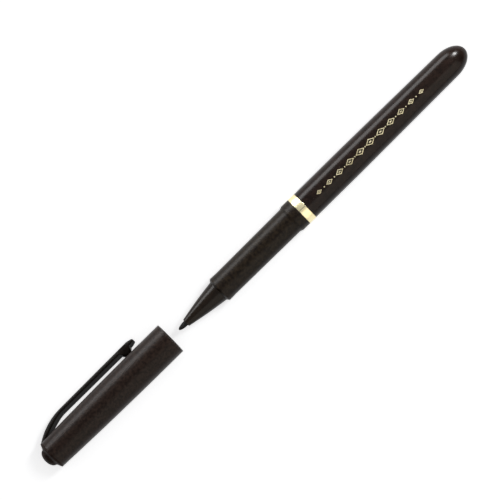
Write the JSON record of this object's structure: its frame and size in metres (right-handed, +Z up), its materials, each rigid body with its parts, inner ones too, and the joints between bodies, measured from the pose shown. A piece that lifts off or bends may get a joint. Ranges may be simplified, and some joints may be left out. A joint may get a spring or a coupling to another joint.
{
  "type": "fibre-tip pen",
  "caption": "Slim black fibre-tip pen with a gold trim ring, lying beside its pulled-off cap, which has a sprung pocket clip and slides back on over the point.",
  "frame": {"origin": "on the pen's axis at the barrel's front face, behind the trim ring", "axes": "+X along the pen's axis from the writing point to the tail, +Z up from the surface that the pen and its cap lie on"},
  "size_m": [0.1912, 0.0152, 0.0118],
  "materials": {
    "barrel_black": "glossy moulded black",
    "pale_gold": "polished pale gold plate",
    "grip_black": "satin moulded black",
    "nose_black": "glossy moulded black",
    "nib_fibre": "bonded fibre soaked in black ink",
    "natural_plastic": "natural moulded, satin",
    "wick_fibre": "fibre bundle soaked in black ink",
    "clear_film": "thin milky film",
    "cap_black": "satin moulded brown-black",
    "clip_black": "semi-gloss moulded black"
  },
  "bodies": {
    "pen": {"barrel": "barrel_black", "trim_ring": "pale_gold", "grip_section": "grip_black", "nose_cone": "nose_black", "nib": "nib_fibre", "nib_bush": "natural_plastic", "reservoir_wick": "wick_fibre", "reservoir_film": "clear_film"},
    "cap": {"cap_shell": "cap_black", "inner_cap": "natural_plastic", "crown_plug": "cap_black"},
    "clip": {"cap_clip": "clip_black"}
  },
  "joints": [
    {"name": "cap_slide", "type": "slide", "parent": "pen", "child": "cap", "axis": [1, 0, 0], "range_m": [0, 0.05465]},
    {"name": "clip_flex", "type": "hinge", "parent": "cap", "child": "clip", "pos_m": [-0.115, 0.0032, -0.00166], "axis": [0, 0.4601, 0.8878], "range_deg": [0, 5], "stiffness_Nm_per_rad": 0.5}
  ]
}
